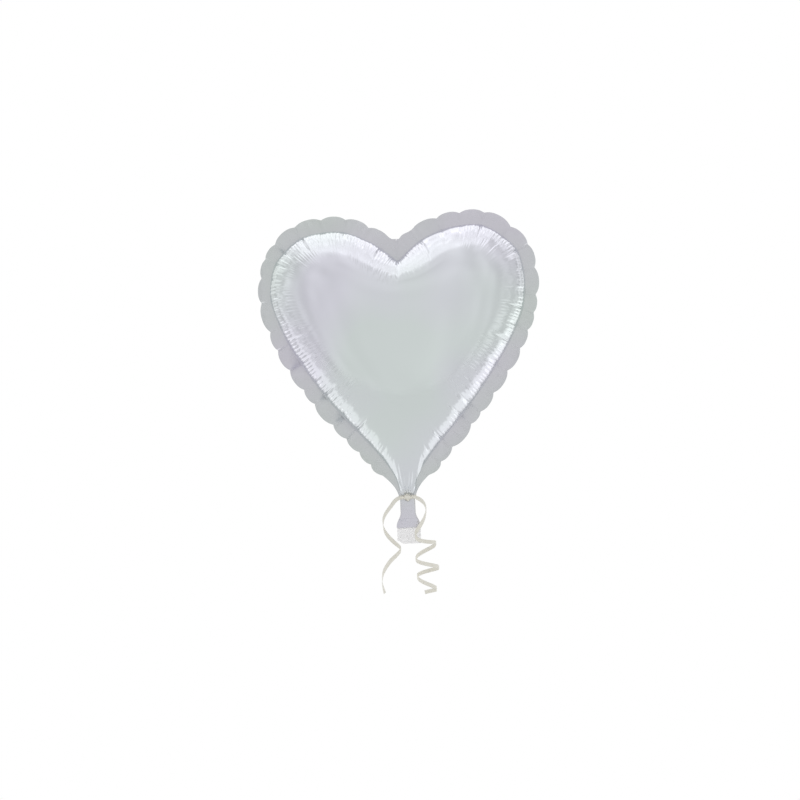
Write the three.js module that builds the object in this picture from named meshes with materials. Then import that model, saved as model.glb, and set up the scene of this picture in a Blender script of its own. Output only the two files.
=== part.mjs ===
// A heart-shaped foil balloon: inflated, tied off at the neck with one length of curling ribbon.
// Millimetres, +Z up, the front of the heart faces -Y. The origin is the middle of the tie on the neck.
import * as THREE from 'three';

// ---------- driving dimensions ----------
// The seal is the welded line where the front film meets the back film.
const sealHalfWidth = 168;    // centre line to the seal, at the widest
const widestHeight = 274;     // tie to the widest place
const lobeTopHeight = 350;    // tie to the top of the seal on each lobe
const lobeCentre = 88;        // centre line to the top of a lobe
const notchHeight = 306;      // tie to the seal in the notch between the lobes
const flankX = 80;            // a point on the straight flank that runs down to the neck
const flankHeight = 108;
const bellyDepth = 76;        // centre plane to the front film, at the fullest
const bellyHeight = 215;      // tie to the fullest place
const flangeWidth = 17;       // flat border of film outside the seal
const drawnIn = 3.2;          // how much narrower the border is where the lobes are widest
const scallopRise = 3.5;      // how far the border bulges between two puckers
const scallopsPerSide = 18;

const filmWall = 0.6;
const valveWall = 0.4;
const plyGap = 0.3;           // between any two films, and between any two pieces that touch

const neckHalfWidth = 9.75;   // gathered under the ribbon
const neckMouthHalfWidth = 15.6;
const neckBorder = 1.2;       // border of film beside the seal, where it is gathered
const neckLength = 39.6;      // tie to the cut end of the foil neck
const foldAngle = 120;        // how far the neck below the tie folds back, in degrees
const valveOutside = 21;      // clear valve film that shows below the foil neck
const valveInside = 85;       // tie to the top of the valve, inside the balloon
const valveTubeHalfWidth = 7;

const ribbonWidth = 5;
const ribbonTubeRadius = 1.2; // round stand-in for the flat ribbon
const wrapWall = 1;           // two turns of ribbon
const knotRadius = 4.2;
const knotDepth = 3.2;
const curlRadius = 14;        // centre line of the tight curls

// ---------- sizes that follow from them ----------
const valveOuterY = plyGap / 2 + valveWall;
const neckInnerY = valveOuterY + plyGap;
const neckOuterY = neckInnerY + filmWall;
const wrapInnerX = neckHalfWidth + plyGap;
const wrapInnerY = neckOuterY + plyGap;
const wrapOuterY = wrapInnerY + wrapWall;
const knotBackY = -(wrapOuterY + plyGap);
const tailAxisY = knotBackY - knotDepth / 2;

// The neck folds up behind the balloon, about an axis just below the ribbon. Folded all the way,
// its back face leans in above that axis, and what is above stays clear of it.
const foldLean = THREE.MathUtils.degToRad(foldAngle - 90);
const foldClear = (y) => (neckOuterY + y * Math.sin(foldLean)) / Math.cos(foldLean) + plyGap;
const foldHeight = -(ribbonWidth / 2 + foldClear(wrapOuterY));
const neckEnd = foldHeight + foldClear(neckOuterY);
const tailTop = foldHeight - plyGap;
const neckTop = ribbonWidth / 2 + 1;

// ---------- materials ----------
const foil = new THREE.MeshStandardMaterial({ color: 0xc9ccd0, roughness: 0.18, metalness: 1.0 });
const clearFilm = new THREE.MeshStandardMaterial({ color: 0xe9ecee, roughness: 0.25, metalness: 0.0 });
const ribbonIvory = new THREE.MeshStandardMaterial({ color: 0xebe8de, roughness: 0.4, metalness: 0.0 });

const balloon = new THREE.Group();

function addPiece(name, geometry, material) {
  const mesh = new THREE.Mesh(geometry, material);
  mesh.name = name;
  balloon.add(mesh);
}

function smooth(from, to, value) {
  return THREE.MathUtils.smoothstep(value, from, to);
}

// ---------- the heart's outline ----------
// Right half of the seal, from the neck up the flank, over the lobe and down into the notch.
// Shape coordinates are (x, height), and each curve's handles are set off from its end points.
function sealCurve() {
  const path = new THREE.Path();
  path.moveTo(neckHalfWidth - neckBorder, neckTop);
  path.bezierCurveTo(
    neckHalfWidth, 34, flankX - 40, flankHeight - 46, flankX, flankHeight);
  path.bezierCurveTo(
    flankX + 38, flankHeight + 44, sealHalfWidth, widestHeight - 48, sealHalfWidth, widestHeight);
  path.bezierCurveTo(
    sealHalfWidth, widestHeight + 43, lobeCentre + 45, lobeTopHeight, lobeCentre, lobeTopHeight);
  path.bezierCurveTo(
    lobeCentre - 34, lobeTopHeight, 24, notchHeight + 26, 0, notchHeight);
  return path;
}

// A place on the straight stretch of neck inside the ribbon, a share of its half width out.
function neckPoint(share) {
  return {
    seal: new THREE.Vector2(neckHalfWidth * share, neckTop - 0.2),
    edge: new THREE.Vector2(neckHalfWidth * share, neckEnd),
  };
}

// Each rim point pairs a place on the seal with the edge of the flat border outside it.
// The border narrows into the gathered neck, it is drawn in a little at the sides, and its edge is
// scalloped by the puckers.
function rightSide() {
  const path = sealCurve();
  const perScallop = 3;
  const count = scallopsPerSide * perScallop;
  const notchEdge = notchHeight + 1.75 * flangeWidth;
  const neckNarrowing = 0.115;  // shares of the way along the seal
  const widestAlong = 0.58;
  const points = [neckPoint(0.75)];
  points[0].edge.x = neckHalfWidth;
  for (let i = 0; i <= count; i += 1) {
    const along = i / count;
    const seal = path.getPointAt(along);
    const tangent = path.getTangentAt(along);
    const bulge = scallopRise * Math.sin(Math.PI * (i % perScallop) / perScallop);
    const border = smooth(0, neckNarrowing, along);
    const narrow = drawnIn * Math.exp(-(((along - widestAlong) / 0.1) ** 2));
    const width = neckBorder + (flangeWidth - neckBorder - narrow + bulge) * border;
    const edge = new THREE.Vector2(seal.x + tangent.y * width, seal.y - tangent.x * width);
    if (along > 0.5) {
      // Close to the notch the two borders meet on the centre line.
      edge.x = Math.max(edge.x, seal.x * 0.2);
      edge.y = Math.max(edge.y, Math.min(notchEdge, seal.y + width));
      if (seal.x < flangeWidth) edge.y = Math.max(edge.y, notchEdge);
    }
    points.push({ seal, edge });
  }
  return points;
}

// The whole rim, as one closed loop: up the right side, down the left, and across the neck.
function heartRim() {
  const right = rightSide();
  const mirror = (v) => new THREE.Vector2(-v.x, v.y);
  const left = right.slice(0, -1).reverse()
    .map((p) => ({ seal: mirror(p.seal), edge: mirror(p.edge) }));
  const across = [-0.5, -0.25, 0, 0.25, 0.5].map(neckPoint);
  return [...right, ...left, ...across];
}

// ---------- front and back panels ----------
// Half width of the seal at a height between the neck and the widest place.
const flank = sealCurve().getSpacedPoints(200).filter((p) => p.y <= widestHeight);
function sealHalfWidthAt(height) {
  const above = Math.max(1, flank.findIndex((p) => p.y >= height));
  const [low, high] = [flank[above - 1], flank[above]];
  const share = THREE.MathUtils.clamp((height - low.y) / (high.y - low.y), 0, 1);
  return THREE.MathUtils.lerp(low.x, high.x, share);
}

// How far a film stands off the centre plane, as a share of the belly's depth, at a place
// `share` of the way from the belly's centre to the seal. Above the belly the section is round
// in every direction. Below it each level is round, and the levels run out to the neck.
function bellyShare(share, x, height) {
  const roundness = 2.4;
  if (height >= bellyHeight) return Math.sqrt(1 - share ** roundness);
  const down = (bellyHeight - height) / (bellyHeight - neckTop);
  const level = (1 - down ** 1.6) ** 1.15;
  const across = Math.min(1, Math.abs(x) / sealHalfWidthAt(height));
  return level * Math.sqrt(1 - across ** roundness);
}

// One panel: an outer and an inner skin over the same rings, joined round the cut edge.
// side is -1 for the front panel and +1 for the back one.
function heartPanel(side) {
  const rim = heartRim();
  const rings = [0.975, 0.91, 0.8, 0.62, 0.34];
  const neckSpread = (height) => (neckInnerY - plyGap / 2) * (1 - smooth(14, 40, height));
  const positions = [];

  function addSkin(inner) {
    const lift = inner ? 0 : filmWall;
    const depth = inner ? bellyDepth - plyGap / 2 - filmWall : bellyDepth - plyGap / 2 - lift;
    const put = (x, height, rise) => {
      const y = plyGap / 2 + lift + neckSpread(height) + rise * depth;
      positions.push(x, side * y, height);
    };
    for (const { edge } of rim) put(edge.x, edge.y, 0);
    for (const { seal } of rim) {
      const inset = inner ? 1 - filmWall / 60 : 1;
      put(seal.x * inset, bellyHeight + (seal.y - bellyHeight) * inset, 0);
    }
    for (const share of rings) {
      for (const { seal } of rim) {
        const x = seal.x * share;
        const height = bellyHeight + (seal.y - bellyHeight) * share;
        put(x, height, bellyShare(share, x, height));
      }
    }
    put(0, bellyHeight, 1);
  }

  addSkin(false);
  const innerStart = positions.length / 3;
  addSkin(true);

  const index = [];
  const triangle = (a, b, c) => (side > 0 ? index.push(a, c, b) : index.push(a, b, c));
  const loop = rim.length;
  for (let i = 0; i < loop; i += 1) {
    const next = (i + 1) % loop;
    for (let ring = 0; ring <= rings.length; ring += 1) {
      const a = ring * loop + i;
      const b = ring * loop + next;
      triangle(a, b, b + loop);
      triangle(a, b + loop, a + loop);
      triangle(innerStart + a, innerStart + b + loop, innerStart + b);
      triangle(innerStart + a, innerStart + a + loop, innerStart + b + loop);
    }
    const last = (rings.length + 1) * loop;
    triangle(last + i, last + next, last + loop);
    triangle(innerStart + last + i, innerStart + last + loop, innerStart + last + next);
    triangle(i, innerStart + i, innerStart + next);
    triangle(i, innerStart + next, next);
  }
  const geometry = new THREE.BufferGeometry();
  geometry.setAttribute('position', new THREE.Float32BufferAttribute(positions, 3));
  geometry.setIndex(index);
  geometry.computeVertexNormals();
  return geometry;
}

// ---------- flat films of the neck and the valve ----------
// rows are [height, half width], from the top down. The film lies between innerY and outerY
// in front of the centre plane (side -1) or behind it (side +1).
function film(rows, side, innerY, outerY) {
  const right = rows.map(([height, half]) => new THREE.Vector2(half, height));
  const left = rows.map(([height, half]) => new THREE.Vector2(-half, height)).reverse();
  const shape = new THREE.Shape([...right, ...left]);
  const geometry = new THREE.ExtrudeGeometry(shape, { depth: outerY - innerY, bevelEnabled: false });
  geometry.rotateX(Math.PI / 2);
  geometry.translate(0, side < 0 ? -innerY : outerY, 0);
  return geometry;
}

// The foil neck below the tie: gathered at first, then opening out to its cut mouth.
function neckRows() {
  const flare = neckMouthHalfWidth - neckHalfWidth;
  return [
    [tailTop, neckHalfWidth],
    [-neckLength * 0.5, neckHalfWidth],
    [-neckLength * 0.68, neckHalfWidth + flare * 0.3],
    [-neckLength * 0.85, neckHalfWidth + flare * 0.85],
    [-neckLength, neckMouthHalfWidth],
  ];
}

// The clear valve tube below the tie, inside the foil neck and out past its mouth.
function valveMouthRows() {
  const inset = 0.4;
  const inNeck = neckRows().map(([height, half]) => [height, half - inset]);
  return [...inNeck, [-(neckLength + valveOutside), neckMouthHalfWidth - inset]];
}

// The clear valve tube above the tie, hanging free inside the balloon.
function valveTubeRows() {
  return [
    [valveInside, valveTubeHalfWidth - 1],
    [valveInside - 1, valveTubeHalfWidth],
    [ribbonWidth, valveTubeHalfWidth],
    [neckEnd, valveTubeHalfWidth],
  ];
}

for (const [place, side] of [['front', -1], ['back', 1]]) {
  addPiece(`${place}_panel`, heartPanel(side), foil);
  addPiece(`valve_tube_${place}`, film(valveTubeRows(), side, plyGap / 2, valveOuterY), clearFilm);
  addPiece(`neck_tail_${place}`, film(neckRows(), side, neckInnerY, neckOuterY), foil);
  addPiece(`valve_mouth_${place}`, film(valveMouthRows(), side, plyGap / 2, valveOuterY), clearFilm);
}

// ---------- ribbon: wrap and knot ----------
function roundedBand(halfX, halfY) {
  const shape = new THREE.Path();
  shape.moveTo(halfX - halfY, halfY);
  shape.absarc(-(halfX - halfY), 0, halfY, Math.PI / 2, Math.PI * 1.5, false);
  shape.absarc(halfX - halfY, 0, halfY, -Math.PI / 2, Math.PI / 2, false);
  return shape.getPoints(8);
}

// Turns of ribbon pulled tight round the gathered neck.
function ribbonWrap() {
  const corner = 0.8;
  const shape = new THREE.Shape(roundedBand(wrapInnerX + corner + wrapWall, wrapOuterY));
  shape.holes.push(new THREE.Path(roundedBand(wrapInnerX + corner, wrapInnerY).reverse()));
  const geometry = new THREE.ExtrudeGeometry(shape, { depth: ribbonWidth, bevelEnabled: false });
  geometry.translate(0, 0, -ribbonWidth / 2);
  return geometry;
}

// A flat ribbon's overhand knot pulls down to a five-sided lump.
function ribbonKnot() {
  const bevel = 0.8;
  const corners = [];
  for (let i = 0; i < 5; i += 1) {
    const turn = Math.PI / 2 + (i * Math.PI * 2) / 5;
    corners.push(new THREE.Vector2(Math.cos(turn), Math.sin(turn)).multiplyScalar(knotRadius - bevel));
  }
  const geometry = new THREE.ExtrudeGeometry(new THREE.Shape(corners), {
    depth: knotDepth - 2 * bevel,
    bevelThickness: bevel,
    bevelSize: bevel,
    bevelSegments: 2,
  });
  geometry.rotateX(Math.PI / 2);
  geometry.translate(0, knotBackY - bevel, 0);
  return geometry;
}

addPiece('ribbon_wrap', ribbonWrap(), ribbonIvory);
addPiece('ribbon_knot', ribbonKnot(), ribbonIvory);

// ---------- ribbon: the two tails ----------
function ribbonTube(points, steps) {
  const section = new THREE.Shape();
  const sides = 8;
  for (let i = 0; i < sides; i += 1) {
    const turn = (i * Math.PI * 2) / sides;
    const x = ribbonTubeRadius * Math.cos(turn);
    const y = ribbonTubeRadius * Math.sin(turn);
    if (i === 0) section.moveTo(x, y);
    else section.lineTo(x, y);
  }
  const path = new THREE.CatmullRomCurve3(points.map((p) => new THREE.Vector3(...p)));
  return new THREE.ExtrudeGeometry(section, { steps, bevelEnabled: false, extrudePath: path });
}

const tailStartX = knotRadius + plyGap;

// The left tail leaves the knot sideways and hangs in one and a half lazy turns.
const leftTail = [
  [-tailStartX, tailAxisY, 0],
  [-8, tailAxisY, 0],
  [-12, tailAxisY - 1.2, -0.9],
  [-17, -8, -4.5],
  [-22, -11, -10.5],
  [-28.5, -13.5, -18.5],
  [-32.3, -12.5, -26],
  [-33.4, -8.5, -34],
  [-31.8, -2.5, -42],
  [-27.5, 3.5, -50],
  [-20.5, 6.5, -58],
  [-14, 4.5, -63.8],
  [-11.4, 0, -67],
  [-13.2, -5.5, -70.4],
  [-18.5, -10.5, -75],
  [-25.5, -14, -81],
  [-31.5, -14.5, -88.5],
  [-35.5, -11.5, -96],
  [-37.3, -7, -104],
  [-37.6, -2.5, -112],
  [-35, 2.5, -124],
];
addPiece('ribbon_tail_left', ribbonTube(leftTail, 46), ribbonIvory);

// The right tail loops out and back in front of the neck, then drops into tight curls.
const curlCentreX = 21;
const curlTop = -64.5;
const curlBottom = -126;
const rightTail = [
  [tailStartX, tailAxisY, 0],
  [8, tailAxisY, 0],
  [12.5, tailAxisY - 0.4, -1.6],
  [17.6, -5.6, -4.8],
  [22, -6.4, -10.5],
  [23.4, -7.2, -18],
  [20.6, -8.4, -27.5],
  [15.6, -9.4, -36],
  [10.4, -10, -43.5],
  [8.2, -12, -49],
  [9.6, -16, -53.4],
  [15, -19, -56],
  [22, -19, -57.6],
  [29, -15.4, -58.8],
  [33.4, -9.4, -59.8],
  [34.6, -4, -61],
  [34, 0.5, curlTop + plyGap + 1.4],
];
addPiece('ribbon_tail_right', ribbonTube(rightTail, 46), ribbonIvory);

// The tight curls, as the cylinder that they fill.
function curlCylinder() {
  const outer = curlRadius + ribbonWidth / 2;
  const geometry = new THREE.CylinderGeometry(outer, outer, curlTop - curlBottom, 20);
  geometry.rotateX(Math.PI / 2);
  geometry.translate(curlCentreX, tailAxisY, (curlTop + curlBottom) / 2);
  return geometry;
}
addPiece('ribbon_curls', curlCylinder(), ribbonIvory);

export default balloon;
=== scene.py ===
import math

import bpy
import numpy as np
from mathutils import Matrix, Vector


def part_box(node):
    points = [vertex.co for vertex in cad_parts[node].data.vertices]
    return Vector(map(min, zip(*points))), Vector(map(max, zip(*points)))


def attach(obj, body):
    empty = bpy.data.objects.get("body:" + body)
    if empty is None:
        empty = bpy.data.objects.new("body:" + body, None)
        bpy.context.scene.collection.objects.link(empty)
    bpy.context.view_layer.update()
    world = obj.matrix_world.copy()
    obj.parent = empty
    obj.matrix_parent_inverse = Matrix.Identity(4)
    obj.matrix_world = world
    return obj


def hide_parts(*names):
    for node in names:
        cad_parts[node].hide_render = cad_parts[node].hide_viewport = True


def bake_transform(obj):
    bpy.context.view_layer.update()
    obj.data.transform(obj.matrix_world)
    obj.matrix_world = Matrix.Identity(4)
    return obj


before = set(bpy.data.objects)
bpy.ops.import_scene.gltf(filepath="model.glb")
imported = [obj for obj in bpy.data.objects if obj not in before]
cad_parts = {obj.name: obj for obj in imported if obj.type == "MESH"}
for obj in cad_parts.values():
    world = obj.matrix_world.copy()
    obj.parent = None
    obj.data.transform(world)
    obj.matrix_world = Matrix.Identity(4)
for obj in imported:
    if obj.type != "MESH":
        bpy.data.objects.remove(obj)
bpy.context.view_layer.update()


# ---------- camera ----------
# Square to the front of the balloon, a little below its middle, with a long lens. It is rolled a
# little, so the heart leans to the left as it does when it floats free.
heart_lean = math.radians(2.5)
camera_distance = 2.4
view_width = 1.04
view_middle_x, view_middle_z = -0.0042, 0.1264
camera_data = bpy.data.cameras.new("camera")
camera_data.lens = camera_data.sensor_width * camera_distance / view_width
camera = bpy.data.objects.new("camera", camera_data)
camera.location = (view_middle_x, -camera_distance, view_middle_z)
camera.rotation_euler = (math.pi / 2, heart_lean, 0)
bpy.context.scene.collection.objects.link(camera)
bpy.context.scene.camera = camera


# ---------- ribbon tails ----------
# The two ends of one length of curling ribbon: flat polypropylene tape 5 mm wide, with fine ribs
# along it. Drawn over a blade it keeps a curl, lazy in the left tail and tight in the right one.
ribbon_width = 0.005
ribbon_thickness = 0.0002
ribbon_crown = 0.00018
tail_axis_y = -0.00465


def finish_mesh(name, verts, faces, material, **shades):
    """A smooth-shaded mesh object in the scene, with one number per point for each named shade."""
    mesh = bpy.data.meshes.new(name)
    mesh.from_pydata(np.asarray(verts, float).tolist(), [], faces)
    mesh.shade_smooth()
    for key, values in shades.items():
        layer = mesh.attributes.new(key, "FLOAT", "POINT")
        layer.data.foreach_set("value", np.asarray(values, np.float32))
    mesh.materials.append(material)
    piece = bpy.data.objects.new(name, mesh)
    bpy.context.scene.collection.objects.link(piece)
    return piece


def smooth(low, high, value):
    """0 below low, 1 above high, and a smooth ramp between them."""
    share = np.clip((np.asarray(value, float) - low) / (high - low), 0, 1)
    return share * share * (3 - 2 * share)


def through(points, per_span=24):
    """A smooth line through the points, column by column."""
    points = np.asarray(points, float)
    padded = np.vstack([2 * points[0] - points[1], points, 2 * points[-1] - points[-2]])
    t = np.linspace(0, 1, per_span, endpoint=False)[:, None]
    spans = []
    for a, b, c, d in zip(padded, padded[1:], padded[2:], padded[3:]):
        spans.append(0.5 * (2 * b + (c - a) * t + (2 * a - 5 * b + 4 * c - d) * t ** 2
                            + (3 * b - a - 3 * c + d) * t ** 3))
    return np.vstack([*spans, points[-1:]])


def evenly(line, step):
    """The line again, with points a step apart."""
    along = np.concatenate([[0], np.cumsum(np.linalg.norm(np.diff(line[:, :3], axis=0), axis=1))])
    places = np.linspace(0, along[-1], max(3, round(along[-1] / step) + 1))
    return np.column_stack([np.interp(places, along, column) for column in line.T])


def unit(vectors):
    return vectors / np.linalg.norm(vectors, axis=-1, keepdims=True)


def ribbon(name, line, width=ribbon_width):
    """Flat ribbon along a line of (x, y, z, facing). Facing is the way its outer face looks, as an
    angle seen from above. The width is one number, or one for each point."""
    centre, facing = line[:, :3], line[:, 3]
    tangent = unit(np.gradient(centre, axis=0))
    outward = np.column_stack([np.cos(facing), np.sin(facing), np.zeros(len(facing))])
    side = unit(np.cross(tangent, outward))
    outward = np.cross(side, tangent)
    points_across = np.linspace(-1, 1, 9)
    section = [(v, ribbon_thickness / 2 - ribbon_crown * v * v) for v in points_across]
    section += [(v, -ribbon_thickness / 2 - ribbon_crown * v * v) for v in points_across[::-1]]
    ring = len(section)
    half = np.broadcast_to(width, len(centre))[:, None] / 2
    verts = np.array([centre + side * half * v + outward * rise for v, rise in section])
    verts = verts.transpose(1, 0, 2).reshape(-1, 3)
    faces = []
    for row in range(len(centre) - 1):
        for k in range(ring):
            a, b = row * ring + k, row * ring + (k + 1) % ring
            faces.append((a, b, b + ring, a + ring))
    last = (len(centre) - 1) * ring
    faces += [tuple(range(ring - 1, -1, -1)), tuple(range(last, last + ring))]
    spread = np.tile([v for v, _ in section], len(centre))
    return finish_mesh(name, verts, faces, ribbon_material, across=spread)


def node(tree, kind, **settings):
    """A shader node. A setting is a property, an input's value, or the output that feeds it."""
    made = tree.nodes.new(kind)
    for key, value in settings.items():
        if hasattr(made, key):
            setattr(made, key, value)
            continue
        socket = made.inputs[int(key[1:]) if key[0] == "_" else key.replace("_", " ")]
        if isinstance(value, bpy.types.NodeSocket):
            tree.links.new(value, socket)
        else:
            socket.default_value = value
    return made


def new_material(name):
    material = bpy.data.materials.new(name)
    material.use_nodes = True
    return material, material.node_tree, material.node_tree.nodes["Principled BSDF"]


def ribbon_film():
    """Ivory polypropylene ribbon with lengthwise ribs, a little cloudier from place to place."""
    material, tree, shader = new_material("ribbon_film")
    ribs_across = 11
    place = node(tree, "ShaderNodeTexCoord").outputs["Object"]
    cloud = node(tree, "ShaderNodeTexNoise", Vector=place, Scale=140.0, Detail=3.0)
    tone = node(tree, "ShaderNodeValToRGB", Fac=cloud.outputs["Fac"])
    tone.color_ramp.elements[0].color = (0.80, 0.775, 0.68, 1)
    tone.color_ramp.elements[1].color = (0.93, 0.915, 0.85, 1)
    across = node(tree, "ShaderNodeAttribute", attribute_name="across").outputs["Fac"]
    wave = node(tree, "ShaderNodeMath", operation="MULTIPLY", _0=across, _1=math.pi * ribs_across)
    rib = node(tree, "ShaderNodeMath", operation="SINE", _0=wave.outputs[0])
    bump = node(tree, "ShaderNodeBump", Strength=0.5, Distance=0.00006, Height=rib.outputs[0])
    tree.links.new(tone.outputs["Color"], shader.inputs["Base Color"])
    tree.links.new(bump.outputs["Normal"], shader.inputs["Normal"])
    shader.inputs["Roughness"].default_value = 0.36
    shader.inputs["Specular IOR Level"].default_value = 0.5
    return material


ribbon_material = ribbon_film()

# The left tail leaves the knot sideways and hangs in one and a half lazy turns.
left_route = [
    (-0.0045, -0.00465, 0, -90),
    (-0.0080, -0.00465, 0, -90),
    (-0.0120, -0.00585, -0.0009, -95),
    (-0.0170, -0.0080, -0.0045, -104),
    (-0.0220, -0.0110, -0.0105, -114),
    (-0.0285, -0.0135, -0.0185, -130),
    (-0.0323, -0.0125, -0.0260, -150),
    (-0.0334, -0.0085, -0.0340, -172),
    (-0.0318, -0.0025, -0.0420, -205),
    (-0.0275, 0.0035, -0.0500, -238),
    (-0.0205, 0.0065, -0.0580, -268),
    (-0.0140, 0.0045, -0.0638, -310),
    (-0.0114, 0.0000, -0.0670, -352),
    (-0.0132, -0.0055, -0.0704, -398),
    (-0.0185, -0.0105, -0.0750, -436),
    (-0.0255, -0.0140, -0.0810, -462),
    (-0.0315, -0.0145, -0.0885, -486),
    (-0.0355, -0.0115, -0.0960, -512),
    (-0.0373, -0.0070, -0.1040, -532),
    (-0.0376, -0.0025, -0.1120, -548),
    (-0.0350, 0.0025, -0.1240, -574),
]

# The right tail loops out and back in front of the neck, then drops into tight curls.
right_route = [
    (0.0045, -0.00465, 0, -90),
    (0.0080, -0.00465, 0, -90),
    (0.0125, -0.00505, -0.0016, -80),
    (0.0176, -0.0056, -0.0048, -60),
    (0.0220, -0.0064, -0.0105, -30),
    (0.0234, -0.0072, -0.0180, -12),
    (0.0206, -0.0084, -0.0275, -38),
    (0.0156, -0.0094, -0.0360, -72),
    (0.0104, -0.0100, -0.0435, -112),
    (0.0082, -0.0120, -0.0490, -150),
    (0.0096, -0.0160, -0.0534, -128),
    (0.0150, -0.0190, -0.0560, -104),
    (0.0220, -0.0190, -0.0576, -84),
    (0.0290, -0.0154, -0.0588, -52),
    (0.0334, -0.0094, -0.0598, -22),
    (0.0346, -0.0040, -0.0610, 2),
]
# Where the tight curls turn, right and left in turn, as (x, height).
curl_turns = [
    (0.0346, -0.0610),
    (0.0070, -0.0810),
    (0.0370, -0.0927),
    (0.0080, -0.1030),
    (0.0330, -0.1210),
    (0.0080, -0.1290),
]
curl_radius = 0.0140
last_turn_share = 0.55


def curl_points():
    """The curls, from just past their first turn: back behind to the left, then round in front."""
    points = []
    steps = 12
    for turn, ((x0, z0), (x1, z1)) in enumerate(zip(curl_turns, curl_turns[1:])):
        first_step = 2 if turn == 0 else 0
        last_turn = turn == len(curl_turns) - 2
        end_step = round(steps * last_turn_share) + 1 if last_turn else steps
        for step in range(first_step, end_step):
            share = step / steps
            angle = math.pi * (turn + share)
            swing = (1 - math.cos(math.pi * share)) / 2
            points.append((x0 + (x1 - x0) * swing, tail_axis_y + curl_radius * math.sin(angle),
                           z0 + (z1 - z0) * share, math.degrees(angle)))
    return points


def tail(name, route, exit_x, length, *nodes):
    """One tail, a cord from its exit. It is folded narrow where it leaves the knot, so it can swing."""
    step = 0.0005
    narrowest = 0.46
    line = through(np.array(route))
    line[:, 3] = np.radians(line[:, 3])
    line = evenly(line, step)
    from_knot = np.arange(len(line)) * step
    unfolded = narrowest + (1 - narrowest) * smooth(0.0035, 0.0095, from_knot)
    piece = ribbon(name, line, width=ribbon_width * unfolded)
    body = name.replace("ribbon_", "")
    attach(piece, body)
    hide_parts(*nodes)


tail("ribbon_left_tail", left_route, -0.0045, 0.174, "ribbon_tail_left")
tail("ribbon_right_tail", right_route + curl_points(), 0.0045, 0.317,
     "ribbon_tail_right", "ribbon_curls")


# ---------- ribbon wrap and knot ----------
# The middle of the same ribbon: two turns pulled tight round the gathered neck, and an overhand
# knot in front. Flat ribbon pulls down to a small folded five-sided knot.
wrap_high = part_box("ribbon_wrap")[1]
knot_low, knot_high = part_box("ribbon_knot")


def band_line(half_x, half_y, turns, tilt, squareness=4.0, steps=160):
    """A line round a flattened neck. Each turn lies on the last, and the lay is tilted a little."""
    angle = np.linspace(0.2, 0.2 + 2 * math.pi * turns, round(steps * turns))
    grow = 1 + 0.02 * angle / (2 * math.pi)
    c, s = np.cos(angle), np.sin(angle)
    reach = (np.abs(c) ** squareness + np.abs(s) ** squareness) ** (-1 / squareness)
    x, y = half_x * grow * c * reach, half_y * (1 + 4 * (grow - 1)) * s * reach
    facing = np.unwrap(np.arctan2(np.sign(y) * (np.abs(y) / half_y) ** (squareness - 1) / half_y,
                                  np.sign(x) * (np.abs(x) / half_x) ** (squareness - 1) / half_x))
    height = tilt * c * half_x + 0.0003 * np.sin(3 * angle + 0.6)
    return np.column_stack([x, y, height, facing])


wrap_turns, wrap_tilt = 2, 0.055
wrap = ribbon("ribbon_wrap_turns",
              band_line(wrap_high.x - 0.0007, wrap_high.y - 0.0005, wrap_turns, wrap_tilt))
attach(wrap, "balloon")
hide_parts("ribbon_wrap")


def knot_folds():
    """Three folds of ribbon, about a fifth of a turn apart, pressed flat over each other."""
    folds = ((68, 0.0008), (-64, 0.0002), (4, -0.0006))   # degrees turned, and lift, of each fold
    half_long = (knot_high.x - knot_low.x) / 2
    middle_y = (knot_low.y + knot_high.y) / 2
    verts, faces, spread = [], [], []
    for fold, (turn_deg, lift) in enumerate(folds):
        line = band_line(half_long * 0.98, 0.0007, 1.02, 0.0, squareness=2.6, steps=90)
        loop = ribbon(f"fold_{fold}", line, width=ribbon_width * 0.86)
        co = np.array([v.co for v in loop.data.vertices])
        layer = loop.data.attributes["across"].data
        turn = math.radians(turn_deg)
        x = co[:, 0] * math.cos(turn) - co[:, 2] * math.sin(turn)
        z = co[:, 0] * math.sin(turn) + co[:, 2] * math.cos(turn)
        sag = 0.00035 * (x / half_long) ** 2
        start = sum(len(v) for v in verts)
        verts.append(np.column_stack([x, co[:, 1] + middle_y + lift + sag, z]))
        faces += [tuple(start + i for i in p.vertices) for p in loop.data.polygons]
        spread += [item.value for item in layer]
        bpy.data.objects.remove(loop)
    return finish_mesh("ribbon_knot_folds", np.vstack(verts), faces, ribbon_material, across=spread)


knot = knot_folds()
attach(knot, "balloon")
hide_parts("ribbon_knot")


# ---------- foil films ----------
# Two heart blanks of nylon film, metallised with aluminium, welded face to face along the seal.
# Inflation pulls the flat blanks in: the flat border outside the seal puckers into scallops, and
# the film just inside it gathers into creases and fine wrinkles that run square to the seal.
seal_half_width = 0.168
widest_height = 0.274
lobe_top_height = 0.350
lobe_centre = 0.088
notch_height = 0.306
flank_x, flank_height = 0.080, 0.108
belly_depth = 0.0752
flange_width = 0.017
notch_edge_height = notch_height + 1.75 * flange_width
neck_top = 0.0024
neck_border = 0.0012
neck_half_width = 0.00975
neck_mouth_half = 0.0156
neck_length = 0.0396
flare_top, flare_foot = -0.020, -0.0375   # the flat neck widens to its mouth between these heights
film_offset = 0.0003          # each film stands this far off the centre plane in the border
neck_film_offset = 0.00115    # and this far in the gathered neck, round the valve

# The deep creases, as shares of the way from the neck up to the notch. Each is a corner of the seal.
deep_creases_right = (0.075, 0.12, 0.165, 0.235, 0.27, 0.44, 0.525, 0.668, 0.776, 0.933)
deep_creases_left = (0.080, 0.12, 0.205, 0.313, 0.46, 0.57, 0.66, 0.746, 0.85, 0.95)
seal_samples = 4096
corner_shares = np.concatenate([deep_creases_right, [1], 2 - np.array(deep_creases_left[::-1])]) / 2
corners = np.round(corner_shares * seal_samples).astype(int)
corner_straightness = 0.32    # how far the seal is pulled straight from one deep crease to the next

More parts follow.
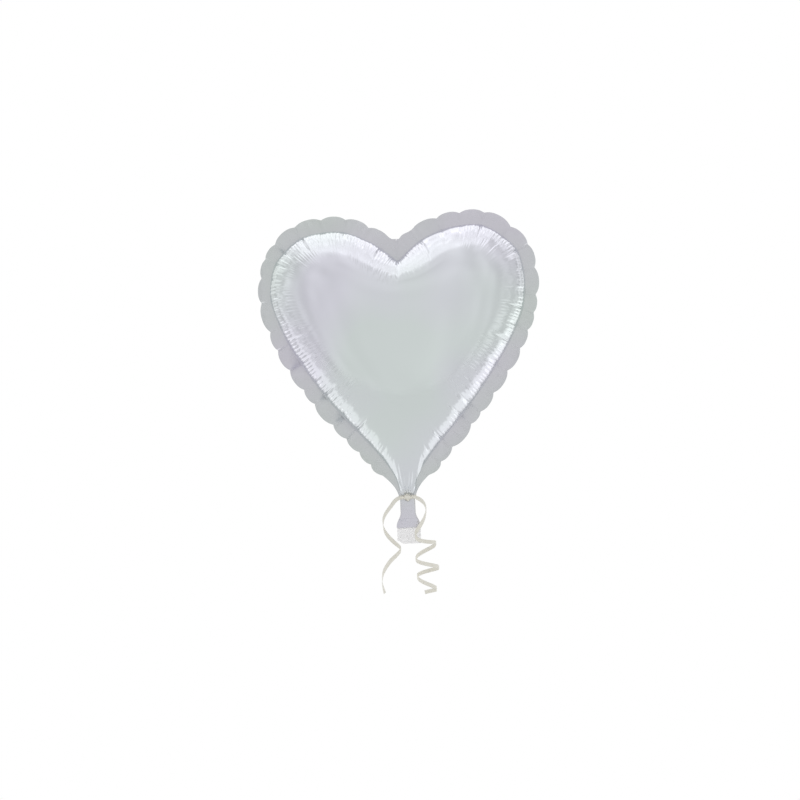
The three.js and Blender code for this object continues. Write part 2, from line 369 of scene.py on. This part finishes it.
columns = 1536
edge_rows, face_rows = 40, 22
edge_reach = 0.34             # share of a column taken up by the closely spaced rows
# At these rows every other column stops, because the columns crowd together towards the middle.
halving_rows = [edge_rows + k for k in (2, 8, 14, 19, 23, 25)]


def bezier(start, first, second, end, steps=240):
    t = np.linspace(0, 1, steps, endpoint=False)[:, None]
    start, first, second, end = (np.array(p) for p in (start, first, second, end))
    return ((1 - t) ** 3 * start + 3 * t * (1 - t) ** 2 * first
            + 3 * t * t * (1 - t) * second + t ** 3 * end)


def blur(values, spread):
    """A closed line's values, smoothed along it by that many samples."""
    frequency = np.fft.rfftfreq(len(values))
    damp = np.exp(-2 * (math.pi * frequency * spread) ** 2)
    return np.fft.irfft((np.fft.rfft(values, axis=0).T * damp).T, len(values), axis=0)


def closed_lengths(loop):
    return np.linalg.norm(np.roll(loop, -1, axis=0) - loop, axis=1)


def seal_loop(straightness):
    """The welded seal as one closed loop of (x, height), starting at the middle of the neck. It is
    pulled towards a straight line from each deep crease to the next."""
    right_half = np.vstack([
        bezier((neck_half_width - neck_border, neck_top), (neck_half_width, 0.034),
               (flank_x - 0.040, flank_height - 0.046), (flank_x, flank_height)),
        bezier((flank_x, flank_height), (flank_x + 0.038, flank_height + 0.044),
               (seal_half_width, widest_height - 0.048), (seal_half_width, widest_height)),
        bezier((seal_half_width, widest_height), (seal_half_width, widest_height + 0.043),
               (lobe_centre + 0.045, lobe_top_height), (lobe_centre, lobe_top_height)),
        bezier((lobe_centre, lobe_top_height), (lobe_centre - 0.034, lobe_top_height),
               (0.024, notch_height + 0.026), (0, notch_height)),
    ])
    left_half = right_half[::-1] * (-1, 1)
    right_half[:, 1] += 0.003 * smooth(0, 0.07, right_half[:, 0]) * smooth(0.26, 0.36, right_half[:, 1])
    loop = np.vstack([[(0, neck_top)], right_half, [(0, notch_height)], left_half])
    along = np.concatenate([[0], np.cumsum(closed_lengths(loop))])
    places = np.linspace(0, along[-1], seal_samples, endpoint=False)
    even = np.column_stack([np.interp(places, along, np.append(c, c[0])) for c in loop.T])
    for first, last in zip(corners, corners[1:]):
        chord = np.linspace(even[first], even[last], last - first, endpoint=False)
        even[first:last] += (chord - even[first:last]) * straightness
    return blur(even, 0.0015 / (along[-1] / seal_samples))


def inward_normals(loop):
    tangent = unit(np.roll(loop, -1, axis=0) - np.roll(loop, 1, axis=0))
    return np.column_stack([-tangent[:, 1], tangent[:, 0]])


def column_starts():
    """Where each column of the mesh starts on the seal, the way it sets off, and how far along the
    seal that is. Columns crowd together at the notch, where they fan out, and in the neck, where
    the gathers are fine."""
    loop = seal_loop(corner_straightness)
    inward = unit(blur(inward_normals(seal_loop(0)), 10))
    fan_depth = 0.025
    neck_crowding, crowded_below = 4, 0.0045
    lengths = closed_lengths(loop)
    crowd = np.maximum(lengths, closed_lengths(loop + inward * fan_depth) * (loop[:, 1] > 0.2))
    crowd = blur(crowd * np.where(loop[:, 1] < crowded_below, neck_crowding, 1), 12)
    place = np.concatenate([[0], np.cumsum(crowd)])
    wanted = np.linspace(0, place[-1], columns, endpoint=False)
    fine = np.column_stack([loop, inward, np.cumsum(lengths) - lengths])
    picked = np.column_stack([np.interp(wanted, place, np.append(c, c[0] if k < 4 else lengths.sum()))
                              for k, c in enumerate(fine.T)])
    return loop, picked[:, :2], unit(picked[:, 2:4]), picked[:, 4], wanted, lengths.sum()


seal_fine, seal, seal_inward, seal_along, band_along, seal_length = column_starts()
band_length = band_along[1] * columns


def inflation(points):
    """How far a membrane over the seal would rise under pressure, as a share of its highest.
    It is a bowl plus the field of point sources just outside the seal that cancel it there."""
    source_gap = 0.007
    edge = seal_fine[::3]
    sources = (seal_fine - inward_normals(seal_fine) * source_gap)[::9]
    middle = np.array([0, 0.2])

    def field(where):
        gaps = where[:, None, :] - sources[None]
        return np.column_stack([0.5 * np.log((gaps ** 2).sum(2)), np.ones(len(where))])

    bowl = ((edge - middle) ** 2).sum(1) / 4
    strength = np.linalg.lstsq(field(edge), bowl, rcond=1e-9)[0]
    rise = np.concatenate([field(part) @ strength for part in np.array_split(points, 40)])
    rise -= ((points - middle) ** 2).sum(1) / 4
    return rise / rise.max()


def column_grid():
    """The places of the mesh's points inside the seal, as rows of (x, height), from the seal in.
    Each column sets off square to the seal and bends round to the middle of the belly."""
    core, core_radius = np.array([0, 0.222]), 0.014
    lean_up = 1 - smooth(0.010, 0.075, seal[:, 1])
    away = unit(seal_inward * (1 - lean_up[:, None]) + np.array([0, 1]) * lean_up[:, None])
    room = 0.85 * np.abs(seal[:, 0]) / np.maximum(1e-6, np.abs(away[:, 0]))
    towards_middle = away[:, 0] * seal[:, 0] < 0
    reach = np.minimum(0.060, np.where(towards_middle, room, 1))
    reach = blur(reach, 10)
    turn = seal + away * reach[:, None]
    turn[:, 0] += (0.15 * seal[:, 0] - turn[:, 0]) * (1 - smooth(0.075, 0.110, seal[:, 1]))
    goal = core + unit(turn - core) * core_radius
    edge_share = np.linspace(0, 1, edge_rows + 1) ** 1.45 * edge_reach
    face_share = edge_reach + np.linspace(0, 1, face_rows + 1)[1:] * (1 - edge_reach)
    t = np.concatenate([edge_share, face_share])[:, None, None]
    grid = (1 - t) ** 2 * seal + 2 * t * (1 - t) * turn + t ** 2 * goal
    inside = core + (goal - core) * np.array([0.78, 0.56, 0.34, 0.12])[:, None, None]
    return np.concatenate([grid, inside])


grid = column_grid()
inflated = inflation(grid.reshape(-1, 2)).reshape(grid.shape[:2])
from_seal = np.concatenate([np.zeros((1, columns)),
                            np.cumsum(np.linalg.norm(np.diff(grid, axis=0), axis=2), axis=0)])
inflated = inflated - inflated[:1] * np.exp(-from_seal / 0.0035)   # exactly flat at the seal
dome = belly_depth * np.sqrt(1 - (1 - np.clip(inflated, 0, 1)) ** 1.5)
cone = 0.0016 + 0.80 * np.maximum(0, grid[..., 1] - neck_top)   # it opens out of the tie as a cone
dome = dome * cone / (dome ** 4 + cone ** 4) ** 0.25
half_length = seal_length / 2
on_right = seal_along < half_length
side_share = np.where(on_right, seal_along, seal_length - seal_along) / half_length
border_share = smooth(-0.01, 0.115, side_share)  # the border narrows into the neck


# ---------- creases ----------
# The deep creases cross the border and run well into the body. Shallow ones lie between them,
# about 28 mm apart, and each one is a cusp in the scalloped edge.
scallop_pitch = 0.028


def crease_list(rng):
    """Every crease as (place along the seal, depth, reach into the body)."""
    deep = (np.cumsum(closed_lengths(seal_fine)) - closed_lengths(seal_fine))[corners]
    listed = []
    for here, following in zip(deep, np.append(deep[1:], 0)):
        listed.append((here, rng.uniform(0.0012, 0.0020), rng.uniform(0.024, 0.038)))
        between = round((following - here) / scallop_pitch)
        for k in range(1, between):
            place = here + (following - here) * (k + rng.uniform(-0.20, 0.20)) / between
            listed.append((place, rng.uniform(0.0002, 0.0007), rng.uniform(0.008, 0.020)))
    return np.array(listed)


creases = crease_list(np.random.default_rng(7))


def bulge_between(places, marks, fullest=1.4):
    """0 at a crease and 1 half-way between two, for the scallops and the swelling of the film. It
    is 0 beside the neck, which has no creases."""
    before = np.searchsorted(marks, places) - 1
    after = np.minimum(before + 1, len(marks) - 1)
    beside_neck = (before < 0) | (before == after)
    low, high = marks[before], np.where(beside_neck, marks[before] + 1, marks[after])
    share = (places - low) / (high - low)
    bulge = (1 - np.abs(2 * share - 1) ** 2.4) * np.clip((high - low) / scallop_pitch, 0, fullest)
    return np.where(beside_neck, 0, bulge)


def ridges(places, centres, widths):
    """Soft ridges across the columns: one row for each ridge."""
    gap = places[None] - centres[:, None]
    return np.exp(-(gap / widths[:, None]) ** 2)


def border_grid(side, rng):
    """The flat border, as rows of points from the seal out to the cut edge. Both films follow the
    same waves there, because they are welded together."""
    bulge = bulge_between(seal_along, creases[:, 0])
    scallop_rise = 0.0042
    narrow = np.where(on_right, 0.0022, 0.0042) * np.exp(-((side_share - 0.58) / 0.10) ** 2)
    width = flange_width - neck_border - 0.0012 - narrow + scallop_rise * bulge
    width = neck_border + width * border_share
    edge = seal - seal_inward * width[:, None]
    near_notch = (side_share > 0.86) & (np.abs(seal[:, 0]) < 0.034)
    sign = np.where(on_right, 1, -1)
    inside = near_notch & (edge[:, 0] * sign < np.abs(seal[:, 0]) * 0.3)
    edge[inside, 0] = (seal[:, 0] * 0.3)[inside]
    edge[inside, 1] = np.maximum(edge[inside, 1], notch_edge_height)
    rounded = blur(edge, 5)
    edge = np.where(near_notch[:, None], rounded, edge)
    share = np.array([0, 0.006, 0.02, 0.06, 0.14, 0.26, 0.40, 0.55, 0.70, 0.85, 1])[:, None]
    flat = seal[None] + (edge - seal)[None] * share[:, :, None]
    free = border_share * (1 - 0.85 * smooth(0.90, 0.96, side_share))   # it is held flat in the notch
    sharp = (ridges(seal_along, creases[:, 0], np.full(len(creases), 0.0010))
             * (creases[:, 1] * 0.9)[:, None]).sum(0)
    tilt = blur(rng.normal(0, 1, columns), 22)
    tilt /= np.abs(tilt).max()
    crinkle = blur(rng.normal(0, 1, columns), 2.6)
    crinkle /= np.abs(crinkle).max()
    curl = 0.0014 * blur(np.abs(rng.normal(0, 1, columns)), 18) * share ** 5
    wave = (0.0026 * (bulge - 0.5) - sharp + 0.0046 * tilt) * free * share ** 1.2
    wave = wave + 0.00060 * crinkle * free * np.sin(math.pi * share) * (1 + share) + curl * free
    wave = wave - 0.7 * neck_gathers(flat[..., 0], flat[..., 1], rng) * share
    offset = film_offset + (neck_film_offset - film_offset) * (1 - smooth(0.014, 0.040, flat[..., 1]))
    y = wave + side * offset
    return np.dstack([flat[..., 0], y, flat[..., 1]])


def fine_wrinkles(rng, wrinkled, pitch, height, begin, reach):
    """Fine wrinkles inside the seal, square to it: the film pillows out between sharp valleys. Each
    has its own height and reach. The sizes are given as (least, most). Wrinkled is how much of the
    height each column gets."""
    valleys = np.cumsum(rng.uniform(*pitch, 600))
    valleys = np.concatenate([[0], valleys[valleys < band_length - pitch[0]], [band_length]])
    cell = np.searchsorted(valleys, band_along, side="right") - 1
    share = (band_along - valleys[cell]) / (valleys[cell + 1] - valleys[cell])
    pillow = (1 - np.abs(2 * share - 1) ** 1.7) * rng.uniform(*height, len(valleys))[cell]
    start = rng.uniform(*begin, len(valleys))[cell]
    end = rng.uniform(*reach, len(valleys))[cell]
    fade = smooth(start, start + 0.003, from_seal)
    fade = fade * (1 - smooth(start + 0.25 * (end - start), end, from_seal))
    return pillow * fade * wrinkled


def crease_relief():
    """The creases as sharp valleys inside the seal, and the swelling of the film between them."""
    marks = np.interp(creases[:, 0], seal_along, band_along)
    in_notch = (np.abs(seal[:, 0]) < 0.02) & (side_share > 0.9)
    straight_down = np.argmin(np.where(in_notch, seal_inward[:, 1], 1))
    marks[np.argmin(np.abs(creases[:, 0] - half_length))] = band_along[straight_down]
    valley = np.zeros_like(from_seal)
    for mark, (_, depth, reach) in zip(marks, creases):
        gap = np.abs(band_along - mark)
        widen = 0.0007 + 0.25 * depth + 0.03 * from_seal
        fade = smooth(0, 0.006, from_seal) * (1 - smooth(0.3 * reach, reach, from_seal))
        valley -= depth * np.exp(-np.sqrt(gap ** 2 + 0.0002 ** 2) / widen) * fade
    swell = 0.0009 * bulge_between(band_along, marks)
    return valley + swell * (1 - smooth(0.004, 0.030, from_seal)) * smooth(0, 0.004, from_seal)


def neck_gathers(x, height, rng):
    """Folds that fan out upwards from the tie."""
    fold_count, fold_height = 12, 0.0019
    spread = x / (0.0088 + 0.50 * np.clip(height - neck_top, 0, 1))
    folds = np.zeros_like(x)
    for centre in np.linspace(-1.1, 1.1, fold_count):
        centre += rng.uniform(-0.05, 0.05)
        top = rng.uniform(0.030, 0.072)
        tall = smooth(0.001, 0.012, height) * (1 - smooth(0.3 * top, top, height))
        width = rng.uniform(0.05, 0.08)
        folds += rng.uniform(0.5, 1.0) * np.exp(-np.abs((spread - centre) / width)) * (0.1 + tall)
    return folds * fold_height * (1 - smooth(0.05, 0.075, height))


def grid_normals(points, side):
    """Outward normals of a grid of points whose columns close round."""
    down = np.gradient(points, axis=0)
    around = np.roll(points, -1, axis=1) - np.roll(points, 1, axis=1)
    normal = unit(np.cross(down, around) + 1e-12)
    return normal * np.sign(normal[-1, 0, 1] * side)


def rings_to_faces(ring_starts, ring_counts, flip):
    """Faces between rings of points. A ring may have half as many points as the one outside it."""
    faces = []
    for start, count, inner, inner_count in zip(ring_starts, ring_counts, ring_starts[1:], ring_counts[1:]):
        for k in range(inner_count):
            after = (k + 1) % inner_count
            if inner_count == count:
                faces.append((start + k, start + after, inner + after, inner + k))
            else:
                a, b, c = start + 2 * k, start + 2 * k + 1, start + (2 * k + 2) % count
                faces.append((a, b, inner + k))
                faces.append((b, c, inner + after, inner + k))
    return [f[::-1] for f in faces] if flip else faces


def neck_grid(side, rng):
    """The neck from under the ribbon down to its cut mouth, opening out below the gathers."""
    top, fold_line = 0.0050, -0.0286
    gather_count, line_count = 8, 34
    rows, across = 120, 64
    height = np.linspace(top, -neck_length, rows)[:, None]
    share = np.linspace(-1, 1, across)[None]
    half = neck_half_width + (neck_mouth_half - neck_half_width) * smooth(flare_top, flare_foot, height)
    x = share * half
    puff = neck_film_offset * (1 - np.abs(share) ** 8) + film_offset * np.abs(share) ** 8
    gathers = sum(rng.uniform(0.5, 1) * np.exp(-((share - c) / 0.07) ** 2)
                  for c in np.linspace(-0.85, 0.85, gather_count))
    gathers = gathers * 0.00030 * (1 - smooth(-0.004, -0.020, height))
    lines = np.zeros((rows, across))
    for _ in range(line_count):
        level = rng.uniform(-neck_length, -0.004)
        slope = rng.uniform(-0.0011, 0.0011)
        bow = rng.uniform(-0.0008, 0.0008)
        middle, spread = rng.uniform(-0.7, 0.7), rng.uniform(0.35, 1.0)
        gap = height - level - slope * share - bow * share ** 2
        lines += (rng.uniform(0.00010, 0.00034) * np.exp(-(gap / 0.0006) ** 2)
                  * np.exp(-((share - middle) / spread) ** 2))
    crease = -0.0007 * np.exp(-np.abs(height - fold_line - 0.0006 * share) / 0.0007)
    y = side * (puff + gathers + lines * (1 - share ** 8) + crease)
    return np.dstack([x, y, height + 0 * share])


def foil_film(name, side, seed, wrinkled):
    """One film: border, body and neck in one mesh."""
    rng = np.random.default_rng(seed)
    border = border_grid(side, np.random.default_rng(11))
    offset = film_offset + (neck_film_offset - film_offset) * (1 - smooth(0.014, 0.040, grid[..., 1]))
    body = np.dstack([grid[..., 0], side * (dome + offset), grid[..., 1]])
    relief = crease_relief()
    relief += fine_wrinkles(rng, wrinkled, pitch=(0.0040, 0.0066), height=(0.00025, 0.00095),
                            begin=(0, 0.001), reach=(0.014, 0.030))
    relief += fine_wrinkles(rng, wrinkled, pitch=(0.0036, 0.0060), height=(0.00004, 0.00034),
                            begin=(0.012, 0.024), reach=(0.032, 0.052))
    relief = relief * smooth(0.05, 0.18, side_share)
    relief += neck_gathers(grid[..., 0], grid[..., 1], rng) * smooth(0, 0.003, from_seal)
    body = body + grid_normals(body, side) * relief[..., None]
    body[0] = border[0]

    rings = [border[k] for k in range(len(border) - 1, 0, -1)]
    weld = [1.0] * len(rings)
    count = columns
    for row in range(len(body)):
        if row in halving_rows:
            count //= 2
        rings.append(body[row][::columns // count])
        weld.append(1.0 if row == 0 else 0.0)
    middle = rings[-1].mean(0)
    counts = [len(r) for r in rings]
    starts = list(np.cumsum([0] + counts[:-1]))
    faces = rings_to_faces(starts, counts, flip=side > 0)
    faces = [tuple(int(i) for i in f) for f in faces]
    verts = np.vstack(rings)
    shade = np.concatenate([np.full(n, w) for n, w in zip(counts, weld)])
    inner = list(range(int(starts[-1]), int(starts[-1]) + counts[-1]))
    hub = len(verts)
    verts = np.vstack([verts, middle])
    shade = np.append(shade, 0)
    for a, b in zip(inner, inner[1:] + inner[:1]):
        faces.append((a, hub, b) if side > 0 else (a, b, hub))

    neck = neck_grid(side, rng)
    neck_weld = 0.6
    rows, across = neck.shape[:2]
    base = len(verts)
    verts = np.vstack([verts, neck.reshape(-1, 3)])
    shade = np.append(shade, np.full(rows * across, neck_weld))
    for r in range(rows - 1):
        for c in range(across - 1):
            a = base + r * across + c
            face = (a, a + across, a + across + 1, a + 1)
            faces.append(face[::-1] if side > 0 else face)
    return finish_mesh(name, verts, faces, foil_material, weld=shade)


def foil():
    """Aluminised film: a bright mirror, a little duller and greyer where the films are welded, with
    faint cool and warm patches and a fine grain from the rollers."""
    material, tree, shader = new_material("aluminised_film")
    place = node(tree, "ShaderNodeTexCoord").outputs["Object"]
    weld = node(tree, "ShaderNodeAttribute", attribute_name="weld").outputs["Fac"]
    patch = node(tree, "ShaderNodeTexNoise", Vector=place, Scale=7.0, Detail=1.0)
    tone = node(tree, "ShaderNodeValToRGB", Fac=patch.outputs["Fac"])
    tone.color_ramp.elements[0].position = 0.38
    tone.color_ramp.elements[0].color = (0.725, 0.785, 0.775, 1)
    tone.color_ramp.elements[1].position = 0.62
    tone.color_ramp.elements[1].color = (0.755, 0.755, 0.830, 1)
    welded = node(tree, "ShaderNodeMix", data_type="RGBA", blend_type="MULTIPLY")
    tree.links.new(weld, welded.inputs["Factor"])
    tree.links.new(tone.outputs["Color"], welded.inputs[6])
    welded.inputs[7].default_value = (0.865, 0.850, 0.845, 1)
    grain = node(tree, "ShaderNodeTexNoise", Vector=place, Scale=320.0, Detail=3.0)
    gloss = node(tree, "ShaderNodeMapRange", Value=grain.outputs["Fac"], To_Min=0.12, To_Max=0.20)
    dull = node(tree, "ShaderNodeMath", operation="MULTIPLY_ADD", _0=weld, _1=0.10,
                _2=gloss.outputs["Result"])
    bump = node(tree, "ShaderNodeBump", Strength=0.10, Distance=0.00003, Height=grain.outputs["Fac"])
    tree.links.new(welded.outputs[2], shader.inputs["Base Color"])
    tree.links.new(dull.outputs[0], shader.inputs["Roughness"])
    tree.links.new(bump.outputs["Normal"], shader.inputs["Normal"])
    shader.inputs["Metallic"].default_value = 1.0
    return material


foil_material = foil()

# The film is calmer beside the notch on the right lobe, and most wrinkled down the left flank.
beside_notch = smooth(0.80, 0.84, side_share) * (1 - smooth(0.92, 0.95, side_share))
down_flank = smooth(0.2, 0.3, side_share) * (1 - smooth(0.5, 0.6, side_share))
front_wrinkled = np.where(on_right, 1 - 0.8 * beside_notch, 1 + 0.3 * down_flank)
for name, side, seed, wrinkled, nodes in (
        ("front_film", -1, 21, front_wrinkled, ("front_panel", "neck_tail_front")),
        ("back_film", 1, 22, np.ones(columns), ("back_panel", "neck_tail_back"))):
    film = foil_film(name, side, seed, wrinkled)
    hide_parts(*nodes)
    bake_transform(film)


# ---------- valve ----------
# A flat tube of two thin clear films, welded into the neck. It hangs free inside the balloon, where
# the gas presses it shut, and its crinkled mouth shows below the cut end of the neck.
def clear_film():
    """Clear film gone milky with handling, with small dark specks of painted shade that stand in for the
    shade seen in its crinkles.
    """
    material, tree, shader = new_material("clear_valve_film")
    place = node(tree, "ShaderNodeTexCoord").outputs["Object"]
    cloud = node(tree, "ShaderNodeTexNoise", Vector=place, Scale=420.0, Detail=2.0)
    milky = node(tree, "ShaderNodeMapRange", Value=cloud.outputs["Fac"], From_Min=0.35, From_Max=0.65,
                 To_Min=0.40, To_Max=0.75)
    # Painted shade: this noise sets dark grey specks in the film's colour, in place of the shade that
    # crinkled clear film shows.
    painted_crease_shade = node(tree, "ShaderNodeTexNoise", Vector=place, Scale=430.0, Detail=1.0)
    tone = node(tree, "ShaderNodeValToRGB", Fac=painted_crease_shade.outputs["Fac"])
    tone.color_ramp.elements[0].position = 0.27
    tone.color_ramp.elements[0].color = (0.36, 0.37, 0.38, 1)
    tone.color_ramp.elements[1].position = 0.36
    tone.color_ramp.elements[1].color = (0.96, 0.955, 0.965, 1)
    bump = node(tree, "ShaderNodeBump", Strength=0.4, Distance=0.0003, Height=cloud.outputs["Fac"])
    tree.links.new(tone.outputs["Color"], shader.inputs["Base Color"])
    tree.links.new(milky.outputs["Result"], shader.inputs["Alpha"])
    tree.links.new(bump.outputs["Normal"], shader.inputs["Normal"])
    shader.inputs["Roughness"].default_value = 0.16
    shader.inputs["IOR"].default_value = 1.5
    return material


clear_material = clear_film()
mouth_low, mouth_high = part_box("valve_mouth_front")
tube_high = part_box("valve_tube_front")[1]


def valve_film(name, side, seed):
    """One clear film of the valve, from its free end inside the balloon down to its mouth."""
    rng = np.random.default_rng(seed)
    rows, across = 150, 30
    crinkle_count = 70
    height = np.linspace(tube_high.z, mouth_low.z, rows)[:, None]
    share = np.linspace(-1, 1, across)[None]
    tube_half, mouth_half = tube_high.x, mouth_high.x
    waist_half = neck_half_width - 0.0006
    half = tube_half + (waist_half - tube_half) * smooth(0.004, -0.004, height)
    half = half + (mouth_half - waist_half) * smooth(flare_top, flare_foot, height)
    loose = smooth(-0.0385, -0.046, height)
    crinkle = np.zeros((rows, across))
    for _ in range(crinkle_count):
        angle = rng.uniform(0, math.pi)
        cx, cz = rng.uniform(-0.016, 0.016), rng.uniform(mouth_low.z, -0.040)
        gap = (share * half - cx) * math.cos(angle) + (height - cz) * math.sin(angle)
        reach = np.hypot(share * half - cx, height - cz)
        crinkle += (rng.uniform(-0.0010, 0.0010) * np.exp(-np.abs(gap) / 0.0008)
                    * np.exp(-(reach / 0.006) ** 2))
    y = side * (0.00030 + 0.0006 * loose * (1 - share ** 4)) + crinkle * loose
    x = share * half * (1 - 0.03 * loose * np.sin(height * 900 + seed))
    lift = 0.0040 * smooth(-0.45, -1.0, share) * smooth(-0.044, mouth_low.z, height)
    points = np.dstack([x, y, height + lift]).reshape(-1, 3)
    faces = []
    for r in range(rows - 1):
        for c in range(across - 1):
            a = r * across + c
            face = (a, a + across, a + across + 1, a + 1)
            faces.append(face[::-1] if side > 0 else face)
    return finish_mesh(name, points, faces, clear_material)


for name, side, seed, nodes in (
        ("valve_film_front", -1, 31, ("valve_tube_front", "valve_mouth_front")),
        ("valve_film_back", 1, 32, ("valve_tube_back", "valve_mouth_back"))):
    valve = valve_film(name, side, seed)
    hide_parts(*nodes)
    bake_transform(valve)


# ---------- floor and studio light ----------
# A plain pale floor a metre below the tie, in a white room. One soft box hangs overhead and two
# stand low at the sides. The walls are slightly uneven, which the foil shows in its reflections.
floor_material, _, floor_shader = new_material("pale_floor")
floor_shader.inputs["Base Color"].default_value = (0.87, 0.87, 0.87, 1)
floor_shader.inputs["Roughness"].default_value = 0.8
bpy.ops.mesh.primitive_circle_add(vertices=96, radius=2.3, fill_type="NGON", location=(0, 0, -1.0))
floor = bpy.context.object
floor.name = "floor"
floor.data.materials.append(floor_material)


def soft_box(name, place, size, power, aim=(0, 0, 0.2)):
    light = bpy.data.lights.new(name, "AREA")
    light.shape = "RECTANGLE"
    light.size, light.size_y = size
    light.energy = power
    lamp = bpy.data.objects.new(name, light)
    lamp.location = place
    toward = np.array(aim) - np.array(place)
    lamp.rotation_euler = Vector(toward.tolist()).to_track_quat("-Z", "Y").to_euler()
    lamp.visible_camera = False
    bpy.context.scene.collection.objects.link(lamp)


soft_box("overhead_box", (0.0, 0.45, 1.50), (2.0, 2.1), 3.6, aim=(0.0, 0.2, 0.3))
soft_box("lower_left_box", (-0.90, 0.40, -0.75), (1.0, 1.2), 0.9)
soft_box("lower_right_box", (0.95, 0.45, -0.60), (0.8, 1.2), 0.8)

world = bpy.data.worlds.new("white_room")
world.use_nodes = True
bpy.context.scene.world = world
room = world.node_tree
direction = node(room, "ShaderNodeTexCoord").outputs["Generated"]
split = node(room, "ShaderNodeSeparateXYZ", Vector=direction)
to_the_back = node(room, "ShaderNodeMapRange", Value=split.outputs["Y"], From_Min=-0.9, From_Max=0.6,
              To_Min=0.80, To_Max=0.95)
background = room.nodes["Background"]
seen = node(room, "ShaderNodeLightPath").outputs["Is Camera Ray"]
level = node(room, "ShaderNodeMix", data_type="FLOAT")
room.links.new(seen, level.inputs["Factor"])
upright = node(room, "ShaderNodeMapping", Vector=direction, Scale=(1.0, 1.0, 0.35))
uneven = node(room, "ShaderNodeTexNoise", Vector=upright.outputs["Vector"], Scale=4.5, Detail=2.0)
contrast = node(room, "ShaderNodeMapRange", Value=split.outputs["Y"], From_Min=-0.95, From_Max=0.3,
                To_Min=0.22, To_Max=1.50)
centred = node(room, "ShaderNodeMath", operation="SUBTRACT", _0=uneven.outputs["Fac"], _1=0.5)
sideways = node(room, "ShaderNodeMath", operation="ABSOLUTE", _0=split.outputs["X"])
side_gloom = node(room, "ShaderNodeMapRange", Value=sideways.outputs[0], From_Min=0.45, From_Max=0.95,
                  To_Min=0.0, To_Max=-0.10)
wall = node(room, "ShaderNodeMath", operation="ADD", _0=to_the_back.outputs["Result"],
            _1=side_gloom.outputs["Result"])
uneven_wall = node(room, "ShaderNodeMath", operation="MULTIPLY_ADD", _0=centred.outputs[0],
                   _1=contrast.outputs["Result"], _2=wall.outputs[0])
room.links.new(uneven_wall.outputs[0], level.inputs[2])
level.inputs[3].default_value = 1.0
room.links.new(level.outputs[0], background.inputs["Strength"])
background.inputs["Color"].default_value = (1, 1, 1, 1)
bpy.context.scene.view_settings.view_transform = "Standard"
